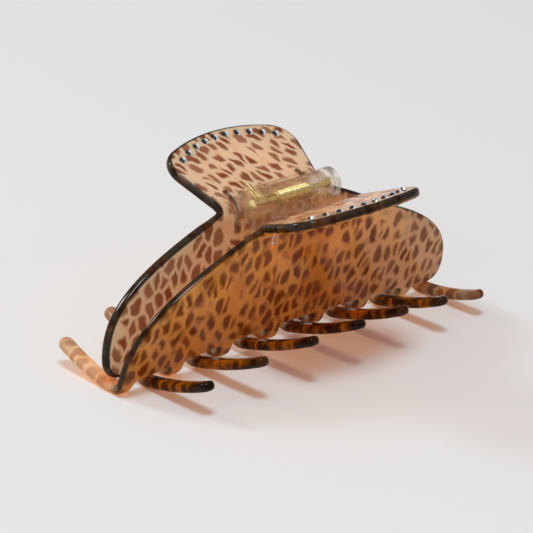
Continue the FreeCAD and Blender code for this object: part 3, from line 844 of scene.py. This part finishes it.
def new_material(name):
    """A material with only an output and a Principled node, both returned with its tree."""
    material = bpy.data.materials.new(name)
    material.use_nodes = True
    tree = material.node_tree
    shader = tree.nodes["Principled BSDF"]
    return material, tree, shader, tree.nodes["Material Output"]


def read_attribute(tree, name, what="Fac"):
    node = add_node(tree, "ShaderNodeAttribute", attribute_type="GEOMETRY", attribute_name=name)
    return node.outputs[what]


def share_of(tree, mask, amount):
    return maths(tree, "MULTIPLY", mask, amount)


def mix_shaders(tree, share, first, second):
    return add_node(tree, "ShaderNodeMixShader", {0: share, 1: first, 2: second}).outputs[0]


def see_through(tree, colour):
    return add_node(tree, "ShaderNodeBsdfTransparent", {"Color": (*colour, 1.0)}).outputs[0]


def worn(tree, where, roughness, smudge, wave):
    """Roughness and normal of a handled surface, as inputs for a shader."""
    inputs = {"Where": where, "Roughness": roughness, "Smudge": smudge, "Wave": wave}
    node = use_group(tree, wear_group(), inputs)
    return {name: node.outputs[name] for name in ("Roughness", "Normal")}


# ---- materials -----------------------------------------------------------------------------------


def chips(tree, where, turn, stretch, per_metre, share, gap, softness):
    """Mask of one layer of pigment chips."""
    inputs = {"Where": where, "Turn": turn, "Stretch": stretch, "Per Metre": per_metre}
    inputs |= {"Share": share, "Gap": gap, "Softness": softness}
    return use_group(tree, chips_group(), inputs).outputs[0]


def plate_colour(tree, colours, flat, inner):
    """Two depths of chips over a painted ground: cream where the hinge side is lit, and amber
    where the outer side is in shade and lit through from behind.

    The outer ground is clouded with flame at random, painted deeper at its foot as the glow of
    light through the sheet, and painted paler towards the free end, where more light falls.
    """
    handle = read_attribute(tree, "handle")
    free_end = read_attribute(tree, "free_end")
    blur = maths(tree, "MULTIPLY_ADD", inner, -0.08, 0.32)
    on_body = chips(tree, flat, 0.1, 1.5, 320.0, 0.90, 0.01, blur)
    on_handle = chips(tree, flat, -0.48, 1.9, 420.0, 0.88, 0.05, 0.24)
    moved = vector_maths(tree, "ADD", flat, (0.031, 0.017, 0.0))
    deep = chips(tree, moved, 0.3, 1.3, 300.0, 0.55, 0.0, 0.45)
    layers = {"Factor": handle, "A": on_body, "B": on_handle}
    top = add_node(tree, "ShaderNodeMix", layers, data_type="FLOAT").outputs[0]
    cloud = soft_step(tree, noise(tree, flat, 55.0), 0.46, 0.68)
    # Painted glow of light passing through the sheet, deepest at the outer faces' foot; the clouds above
    # are random.
    height = add_node(tree, "ShaderNodeSeparateXYZ", {0: flat}).outputs["Y"]
    foot = soft_step(tree, height, 24 * MM, 4 * MM)
    flame_clouds_and_painted_glow = maths(tree, "MULTIPLY_ADD", foot, 0.35, share_of(tree, cloud, 0.55), clamp=True)
    # Painted light and shade: the cream inner ground is the lit hinge side, the amber outer ground the
    # shaded side lit through.
    inner_ground_painted_lit = blend_colours(tree, share_of(tree, deep, 0.30), colours.cream, colours.amber)
    outer_ground_painted_shade_and_glow = blend_colours(tree, flame_clouds_and_painted_glow, colours.amber, colours.flame)
    outer_ground_painted_shade_and_glow = blend_colours(tree, share_of(tree, deep, 0.55), outer_ground_painted_shade_and_glow, colours.umber)
    # Painted light: the outer ground is paler towards the free end, where more light falls.
    outer_ground_painted_shade_and_glow = blend_colours(tree, share_of(tree, free_end, 0.55), outer_ground_painted_shade_and_glow, colours.cream)
    ground = blend_colours(tree, inner, outer_ground_painted_shade_and_glow, inner_ground_painted_lit)
    # The chips are painted lit inside and shaded outside as well.
    pigment = blend_colours(tree, inner, colours.umber, colours.rust)
    return blend_colours(tree, share_of(tree, top, 0.95), ground, pigment)


def tooth_colour(tree, colours, flat, pale):
    """Marbled brown banded across; a pale tooth is creamier and its bands are fainter."""
    across = chips(tree, flat, 1.45, 2.0, 330.0, 0.70, 0.0, 0.30)
    marbling = soft_step(tree, noise(tree, flat, 240.0, 2.5, 0.55), 0.36, 0.62)
    brown_ground = blend_colours(tree, marbling, colours.flame, colours.bark)
    milk = maths(tree, "MULTIPLY_ADD", marbling, 0.5, 0.3)
    pale_ground = blend_colours(tree, milk, colours.amber, colours.cream)
    ground = blend_colours(tree, pale, brown_ground, pale_ground)
    banded = maths(tree, "MULTIPLY", across, maths(tree, "MULTIPLY_ADD", pale, -0.45, 0.95))
    band = blend_colours(tree, pale, colours.bark, colours.rust)
    return blend_colours(tree, banded, ground, band)


def rim_painted_shade(tree, colours, flat, inner, tooth):
    """Mask and colour of the rim's painted shade, near black with brown glimpses."""
    depth = read_attribute(tree, "rim_depth")
    end = maths(tree, "MULTIPLY_ADD", inner, RIM_INSIDE, RIM_BLUR)
    start = maths(tree, "SUBTRACT", end, RIM_BLUR)
    on_plate = soft_step(tree, tooth, 0.0, 0.2, 1.0, 0.0)
    mask = maths(tree, "MULTIPLY", soft_step(tree, depth, start, end, 1.0, 0.0), on_plate)
    glimpse = soft_step(tree, noise(tree, flat, 170.0), 0.5, 0.72, 0.0, 0.8)
    return mask, blend_colours(tree, glimpse, colours.rim, colours.ember)


def acetate(colours):
    """Chipped acetate: spotted faces, marbled teeth with dark tips, and polished rims painted near
    black as the shade of light absorbed along the edge.

    Some light goes through the sheet, and its shadow is thin and warm.
    """
    material, tree, shader, output = new_material("polished_acetate")
    flat = read_attribute(tree, "sheet", "Vector")
    tooth = read_attribute(tree, "tooth")
    inner = read_attribute(tree, "inner_face")
    pale = read_attribute(tree, "pale_tooth")
    colour = plate_colour(tree, colours, flat, inner)
    on_tooth = soft_step(tree, tooth, 0.02, 0.25)
    colour = blend_colours(tree, on_tooth, colour, tooth_colour(tree, colours, flat, pale))
    tip = share_of(tree, soft_step(tree, tooth, 0.80, 0.92), 0.92)
    tip = maths(tree, "MULTIPLY", tip, maths(tree, "MULTIPLY_ADD", pale, -0.6, 1.0))
    colour = blend_colours(tree, tip, colour, blend_colours(tree, pale, colours.rim, colours.rust))
    # Painted shade: the rim's near black stands in for light absorbed along the long path through the
    # edge.
    rim, rim_shade_colour = rim_painted_shade(tree, colours, flat, inner, tooth)
    colour = blend_colours(tree, share_of(tree, rim, 0.97), colour, rim_shade_colour)
    surface = {"Base Color": colour, "IOR": 1.48, "Specular IOR Level": 0.12}
    surface |= {"Coat Weight": 0.12, "Coat Roughness": 0.04}
    feed(tree, shader, surface | worn(tree, flat, 0.07, 0.05, 0.25))
    through = add_node(tree, "ShaderNodeBsdfTranslucent", {"Color": colour}).outputs[0]
    dark = maths(tree, "MAXIMUM", rim, tip)
    share = maths(tree, "MULTIPLY_ADD", dark, -0.42, 0.42, clamp=True)
    body = mix_shaders(tree, share, shader.outputs[0], through)
    rays = add_node(tree, "ShaderNodeLightPath").outputs["Is Shadow Ray"]
    whole = mix_shaders(tree, share_of(tree, rays, 0.74), body, see_through(tree, colours.shadow))
    tree.links.new(whole, output.inputs["Surface"])
    return material


def clear_plastic(colours):
    """Clear moulded plastic, faintly warm, with soft flow marks in the surface."""
    material, tree, shader, output = new_material("moulded_clear_plastic")
    where = add_node(tree, "ShaderNodeTexCoord").outputs["Object"]
    surface = {"Base Color": (*colours.clear, 1.0), "Transmission Weight": 1.0, "IOR": 1.3}
    feed(tree, shader, surface | worn(tree, where, 0.02, 0.03, 0.4))
    rays = add_node(tree, "ShaderNodeLightPath").outputs["Is Shadow Ray"]
    edge = add_node(tree, "ShaderNodeLayerWeight", {"Blend": 0.4}).outputs["Facing"]
    seen = maths(tree, "MULTIPLY_ADD", edge, -0.70, 0.86, clamp=True)
    share = maths(tree, "MULTIPLY_ADD", rays, 0.5, seen, clamp=True)
    whole = mix_shaders(tree, share, shader.outputs[0], see_through(tree, colours.clear))
    tree.links.new(whole, output.inputs["Surface"])
    return material


def gilt(colours):
    """Pale gilt wire with fine drawing lines, and painted shade where the turns of the coil meet."""
    material, tree, shader, _ = new_material("drawn_gilt_wire")
    where = add_node(tree, "ShaderNodeTexCoord").outputs["Object"]
    tarnish = soft_step(tree, noise(tree, where, 700.0, 3.0, 0.6), 0.35, 0.75, 0.0, 0.25)
    colour = blend_colours(tree, tarnish, colours.gilt, [0.55 * c for c in colours.gilt])
    # Painted shade in the grooves where the coil's turns touch.
    between = share_of(tree, read_attribute(tree, "painted_shade_between_turns"), 0.7)
    colour = blend_colours(tree, between, colour, [0.2 * c for c in colours.gilt])
    surface = {"Base Color": colour, "Metallic": 0.7}
    feed(tree, shader, surface | worn(tree, where, 0.16, 0.15, 0.3))
    return material


def cut_crystal(colours):
    """Foiled crystal: facets painted with reflections, from dark to a white glint by their direction."""
    material, tree, shader, _ = new_material("foiled_crystal")
    where = add_node(tree, "ShaderNodeTexCoord").outputs["Object"]
    # Painted glints and reflections, baked into each facet from its direction.
    painted_glint_share = soft_step(tree, read_attribute(tree, "painted_facet_glint"), 0.3, 0.75)
    colour = blend_colours(tree, painted_glint_share, colours.painted_dark_reflection, colours.crystal)
    surface = {"Base Color": colour, "Metallic": 0.35, "Coat Weight": 1.0, "Coat Roughness": 0.02}
    feed(tree, shader, surface | worn(tree, where, 0.04, 0.03, 0.0))
    return material


def material_of(name, maker):
    """The named material, made the first time it is asked for."""
    if name in bpy.data.materials:
        return bpy.data.materials[name]
    return maker(bpy.context.scene.clip_colours)


# ---- operators -----------------------------------------------------------------------------------


def sheet_of(scene):
    return Sheet(scene.clip_sheet, scene.clip_teeth, scene.clip_hinge, scene.clip_stones)


def store(mesh, name, values):
    """Keeps one number for each point of the mesh."""
    layer = mesh.attributes.new(name, "FLOAT", "POINT")
    layer.data.foreach_set("value", np.asarray(values, dtype=np.float32))


class CLIP_OT_jaw(bpy.types.Operator):
    """Builds one jaw from the flat sheet: rim, faces, teeth, slots and stone seats"""

    bl_idname = "clip.jaw"
    bl_label = "Jaw"
    side: bpy.props.EnumProperty(
        name="Side",
        description="Which jaw to build",
        items=[("left", "Left", "Jaw on the +Y side"), ("right", "Right", "Jaw on the -Y side")],
    )

    def execute(self, context):
        sheet = sheet_of(context.scene)
        shell = jaw_shell(sheet)
        x, w, lift, depth = np.vstack(shell.rows).T
        points = sheet.mould(x, w, lift)
        if self.side == "right":
            points = half_turn(points)
        faces = np.vstack([f[:, [0, 1, 2, 2]] if f.shape[1] == 3 else f for f in shell.faces])
        faces = [f[:3] if f[2] == f[3] else f for f in faces.tolist()]
        piece = new_mesh(f"{self.side}_jaw_sheet", points, faces)
        mesh = piece.data
        flat = np.stack([x + (SHEET_GAP if self.side == "right" else 0.0), w, lift], axis=-1)
        layer = mesh.attributes.new("sheet", "FLOAT_VECTOR", "POINT")
        layer.data.foreach_set("vector", flat.astype(np.float32).ravel())
        edge = sheet.edge(x)
        tip = sheet.tip(np.clip(x, sheet.places.min(), sheet.places.max()))
        store(mesh, "rim_depth", depth)
        store(mesh, "tooth", np.clip((edge - w) / (edge - tip), 0, 1))
        # The inner face picks the painted lit ground over the painted shaded one; it also softens the
        # chips and widens the rim's painted shade.
        store(mesh, "inner_face", ease(lift, -0.5 * MM, 0.5 * MM))
        last = np.abs(x - sheet.places[-1]) < sheet.t.pitch / 2
        next_to_last = np.abs(x - sheet.places[-2]) < sheet.t.pitch / 2
        pale = last * 1.0 + next_to_last * 0.7 if self.side == "right" else last * 0.4
        store(mesh, "pale_tooth", pale)
        # Painted light: the outer ground pales towards the free end.
        store(mesh, "free_end", ease(-x, 5 * MM, 48 * MM))
        store(mesh, "handle", ease(w, sheet.s.body_run - 2 * MM, sheet.s.body_run + 4 * MM))
        merge(piece, 2 * JOIN)
        mesh.materials.append(material_of("polished_acetate", acetate))
        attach(piece, LEFT_BODY if self.side == "left" else RIGHT_BODY)
        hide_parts(f"{self.side}_jaw")
        return {"FINISHED"}


class CLIP_OT_hinge_leaves(bpy.types.Operator):
    """Gives the two clear hinge leaves their material"""

    bl_idname = "clip.hinge_leaves"
    bl_label = "Hinge leaves"

    def execute(self, context):
        for name in ("left_hinge_leaf", "right_hinge_leaf"):
            node = frame["nodes"][name]
            node.data.materials.clear()
            node.data.materials.append(material_of("moulded_clear_plastic", clear_plastic))
        return {"FINISHED"}


class CLIP_OT_pin(bpy.types.Operator):
    """Builds the hinge pin with its two riveted heads"""

    bl_idname = "clip.pin"
    bl_label = "Hinge pin"

    def execute(self, context):
        sizes = context.scene.clip_hinge
        low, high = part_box("hinge_pin")
        half = (high.x - low.x) / 2
        head = sizes.pin_head
        turn = np.linspace(0, math.pi / 2, 6)
        outer = [
            (half - PIN_ROUND * (1 - math.cos(t)), head - PIN_ROUND + PIN_ROUND * math.sin(t))
            for t in turn
        ]
        inner = half - sizes.pin_head_deep
        right = [(inner, sizes.pin_radius), (inner, head)] + outer[::-1] + [(half, 0.0)]
        left = [(-x, r) for x, r in right[::-1]]
        points, faces = lathe(left + right, 28, (0, 0, PIN_RISE))
        piece = new_mesh("hinge_pin_turned", points, faces)
        merge(piece, JOIN)
        piece.data.set_sharp_from_angle(angle=math.radians(35))
        piece.data.materials.append(material_of("drawn_gilt_wire", gilt))
        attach(piece, LEFT_BODY)
        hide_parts("hinge_pin")
        return {"FINISHED"}


def rim_point(radius, angle):
    """Point beside the pin's axis at an angle from the left jaw's side upwards."""
    return np.array([0.0, radius * math.cos(angle), PIN_RISE + radius * math.sin(angle)])


def rounded_path(corners, radius, steps=7):
    """Points along straight runs whose corners are rounded by arcs of the given radius."""
    corners = np.array(corners)
    out = [corners[0]]
    for a, b, c in zip(corners, corners[1:], corners[2:]):
        back = (a - b) / np.linalg.norm(a - b)
        on = (c - b) / np.linalg.norm(c - b)
        cut = min(radius, 0.49 * np.linalg.norm(a - b), 0.49 * np.linalg.norm(c - b))
        share = np.linspace(0, 1, steps)[:, None]
        out.extend((b + back * cut * (1 - share) ** 2 + on * cut * share**2).tolist())
    out.append(corners[-1])
    return np.array(out)


class CLIP_OT_spring(bpy.types.Operator):
    """Builds the close-wound torsion spring with its two legs"""

    bl_idname = "clip.spring"
    bl_label = "Torsion spring"

    def execute(self, context):
        sizes = context.scene.clip_hinge
        mean = sizes.coil_mean
        half = sizes.coil_half
        along = np.array([1.0, 0.0, 0.0])
        turns = sizes.coil_whole_turns + (sizes.far_leg_angle - sizes.near_leg_angle) / (2 * math.pi)
        share = np.linspace(0, 1, int(26 * turns))
        turn = sizes.near_leg_angle + share * turns * 2 * math.pi
        coil = np.stack(
            [-half + 2 * half * share, mean * np.cos(turn), PIN_RISE + mean * np.sin(turn)], axis=-1
        )
        handle = context.scene.clip_sheet.handle_angle
        way = np.array([0.0, math.cos(handle), math.sin(handle)])
        near = rim_point(mean, sizes.near_leg_angle)
        near_turn = near - along * sizes.lane
        near_leg = rounded_path([near_turn + way * sizes.near_leg_out, near_turn, coil[0]], 0.7 * MM)
        far_out = rim_point(sizes.far_leg_radius, sizes.far_leg_angle)
        tail = rim_point(sizes.far_leg_radius + sizes.far_leg_out, sizes.far_leg_angle)
        leaving = far_out + along * (half + 0.3 * MM)
        far_leg = rounded_path(
            [coil[-1], leaving, far_out + along * sizes.lane, tail + along * sizes.lane], 0.6 * MM
        )
        path = np.vstack([near_leg[:-1], coil, far_leg[1:]])
        points, faces = tube(path, sizes.wire / 2)
        piece = new_mesh("torsion_spring_wound", points, faces)
        across = np.hypot(points[:, 1], points[:, 2] - PIN_RISE)
        on_coil = (np.abs(points[:, 0]) < half) & (across < mean + sizes.wire)
        # Painted shade on the wire's inner side, where the turns touch.
        painted_shade_points = on_coil & (across < mean + 0.2 * sizes.wire)
        store(piece.data, "painted_shade_between_turns", painted_shade_points * 1.0)
        merge(piece, JOIN)
        piece.data.materials.append(material_of("drawn_gilt_wire", gilt))
        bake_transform(piece)
        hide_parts("torsion_spring")
        return {"FINISHED"}


def cut_stone(sizes, sides=8):
    """Round chaton: a flat back, a low girdle, a ring of kites and triangles, and a flat table."""
    turn = np.linspace(0, 2 * math.pi, 2 * sides, endpoint=False)

    def ring(radius, at, share):
        return np.stack(
            [radius * np.cos(at), radius * np.sin(at), np.full_like(at, share * sizes.high)], axis=-1
        )

    low = ring(sizes.girdle, turn, 0.0)
    rise = ring(sizes.girdle, turn, 0.42)
    kite = ring((sizes.table + sizes.girdle) / 2, turn[::2], 0.78)
    top = ring(sizes.table, turn[1::2], 1.0)
    points = np.vstack([low, rise, kite, top])
    rim = 2 * sides
    faces = [list(range(rim - 1, -1, -1)), list(range(3 * rim - sides, 3 * rim))]
    for k in range(rim):
        on = (k + 1) % rim
        faces.append([k, on, rim + on, rim + k])
    for k in range(sides):
        on = (k + 1) % sides
        kite_here = 2 * rim + k
        kite_on = 2 * rim + on
        table = 2 * rim + sides + k
        table_back = 2 * rim + sides + (k - 1) % sides
        edge = rim + 2 * k
        edge_on = rim + (2 * k + 1) % rim
        edge_next = rim + (2 * k + 2) % rim
        faces.append([edge, edge_on, kite_here])
        faces.append([edge_on, edge_next, kite_on])
        faces.append([kite_here, edge_on, kite_on, table])
        faces.append([kite_here, table, table_back])
    return points, faces


class CLIP_OT_stones(bpy.types.Operator):
    """Sets a row of cut stones in each handle"""

    bl_idname = "clip.stones"
    bl_label = "Stones"

    def execute(self, context):
        sizes = context.scene.clip_stones
        sheet = sheet_of(context.scene)
        points, faces = cut_stone(sizes)
        floor = sheet.s.thick / 2 - sizes.seat_deep
        rng = np.random.default_rng(7)
        heading = sheet.s.handle_angle
        for side in ("left", "right"):
            for number, (x, w) in enumerate(sheet.seats(), start=1):
                spin = rng.uniform(0, math.pi / 4)
                spun = points @ np.array(Matrix.Rotation(spin, 3, "Z")).T
                upright = spun @ np.array(Matrix.Rotation(heading, 3, "X")).T
                place = sheet.mould(np.array([x]), np.array([w]), np.array([floor]))[0]
                placed = upright + place
                if side == "right":
                    placed = half_turn(placed)
                node = f"{side}_stone_{number:02d}"
                piece = new_mesh(f"{node}_cut", placed, faces, smooth=False)
                layer = piece.data.attributes.new("painted_facet_glint", "FLOAT", "FACE")
                normals = np.empty(3 * len(faces), dtype=np.float32)
                piece.data.polygons.foreach_get("normal", normals)
                # Painted glints: facets turned towards the glint way are bright, with a little random
                # spread.
                towards = normals.reshape(-1, 3) @ np.array(PAINTED_GLINT_WAY)
                painted_glint = 1.6 * towards - 0.22 + rng.uniform(-0.2, 0.2, len(faces))
                layer.data.foreach_set("value", painted_glint.astype(np.float32))
                piece.data.materials.append(material_of("foiled_crystal", cut_crystal))
                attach(piece, LEFT_BODY if side == "left" else RIGHT_BODY)
                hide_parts(node)
        return {"FINISHED"}


def add_area(name, place, aim, size, watts, colour):
    """A square lamp at a place, turned to its aim."""
    lamp = bpy.data.lights.new(name, "AREA")
    lamp.shape = "SQUARE"
    lamp.size = size
    lamp.energy = watts
    lamp.color = colour
    holder = bpy.data.objects.new(name, lamp)
    holder.location = place
    holder.rotation_euler = (Vector(aim) - Vector(place)).to_track_quat("-Z", "Y").to_euler()
    bpy.context.scene.collection.objects.link(holder)


class CLIP_OT_stage(bpy.types.Operator):
    """Lays the pale floor and sets the lights and the camera"""

    bl_idname = "clip.stage"
    bl_label = "Stage"

    def execute(self, context):
        sizes = context.scene.clip_stage
        self.floor(sizes)
        self.lights(context)
        self.camera(context, sizes)
        return {"FINISHED"}

    def floor(self, sizes):
        reach = 3.0
        corners = [(-reach, -reach, 0), (reach, -reach, 0), (reach, reach, 0), (-reach, reach, 0)]
        floor = new_mesh("studio_floor", np.array(corners), [[0, 1, 2, 3]])
        material, tree, shader, _ = new_material("studio_floor")
        surface = {"Base Color": (*sizes.floor, 1.0), "Roughness": 0.65, "Specular IOR Level": 0.25}
        feed(tree, shader, surface)
        floor.data.materials.append(material)

    def lights(self, context):
        """A low window behind, a lamp overhead, a weak one at the side and a pale room."""
        aim = (0, 0, 0.02)
        white = (1.0, 1.0, 1.0)
        add_area("window", (-0.63, 1.7, 1.35), aim, 0.5, 15.5, (1.0, 0.98, 0.95))
        add_area("overhead", (-0.4, -0.2, 2.0), aim, 0.5, 23.2, white)
        add_area("side_fill", (-1.0, -0.2, 0.5), aim, 0.3, 1.0, white)
        world = bpy.data.worlds.new("studio")
        world.use_nodes = True
        tree = world.node_tree
        glossy = add_node(tree, "ShaderNodeLightPath").outputs["Is Glossy Ray"]
        strength = maths(tree, "MULTIPLY_ADD", glossy, -0.14, 0.32)
        feed(tree, tree.nodes["Background"], {"Color": (0.95, 0.97, 1.0, 1.0), "Strength": strength})
        context.scene.world = world
        context.scene.view_settings.view_transform = "Standard"

    def camera(self, context, sizes):
        """Aims a long lens at the target, from its azimuth and elevation, with a slight roll."""
        level = math.cos(sizes.elevation)
        x, y = math.sin(sizes.azimuth), -math.cos(sizes.azimuth)
        back = Vector((x * level, y * level, math.sin(sizes.elevation)))
        right = Vector((0, 0, 1)).cross(back).normalized()
        up = back.cross(right)
        target = Vector((0, 0, sizes.aim_rise)) + right * sizes.aim_right + up * sizes.aim_up
        turned_right = right * math.cos(sizes.roll) + up * math.sin(sizes.roll)
        turned_up = up * math.cos(sizes.roll) - right * math.sin(sizes.roll)
        lens = bpy.data.cameras.new("studio_camera")
        lens.lens = sizes.lens
        lens.sensor_width = 36.0
        lens.clip_start = 0.01
        holder = bpy.data.objects.new("studio_camera", lens)
        turned = Matrix((turned_right, turned_up, back)).transposed()
        holder.matrix_world = Matrix.Translation(target + back * sizes.distance) @ turned.to_4x4()
        context.scene.collection.objects.link(holder)
        context.scene.camera = holder


class CLIP_PT_panel(bpy.types.Panel):
    """Lists the clip's pieces"""

    bl_idname = "CLIP_PT_panel"
    bl_label = "Claw clip"
    bl_space_type = "VIEW_3D"
    bl_region_type = "UI"
    bl_category = "Claw clip"

    def draw(self, context):
        column = self.layout.column()
        for side in ("left", "right"):
            column.operator("clip.jaw", text=f"{side.title()} jaw").side = side
        for name in ("clip.hinge_leaves", "clip.pin", "clip.spring", "clip.stones", "clip.stage"):
            column.operator(name)


GROUPS = {
    "clip_sheet": ClipSheetSizes,
    "clip_teeth": ClipToothSizes,
    "clip_hinge": ClipHingeSizes,
    "clip_stones": ClipStoneSizes,
    "clip_colours": ClipColours,
    "clip_stage": ClipStageSizes,
}
CLASSES = (
    CLIP_OT_jaw,
    CLIP_OT_hinge_leaves,
    CLIP_OT_pin,
    CLIP_OT_spring,
    CLIP_OT_stones,
    CLIP_OT_stage,
    CLIP_PT_panel,
)


def register():
    for name, group in GROUPS.items():
        bpy.utils.register_class(group)
        setattr(bpy.types.Scene, name, bpy.props.PointerProperty(type=group))
    for item in CLASSES:
        bpy.utils.register_class(item)


def unregister():
    for item in reversed(CLASSES):
        bpy.utils.unregister_class(item)
    for name, group in GROUPS.items():
        delattr(bpy.types.Scene, name)
        bpy.utils.unregister_class(group)


def main():
    register()
    bpy.ops.clip.stage()
    bpy.ops.clip.jaw(side="left")
    bpy.ops.clip.jaw(side="right")
    bpy.ops.clip.hinge_leaves()
    bpy.ops.clip.pin()
    bpy.ops.clip.spring()
    bpy.ops.clip.stones()


if __name__ == "__main__":
    main()
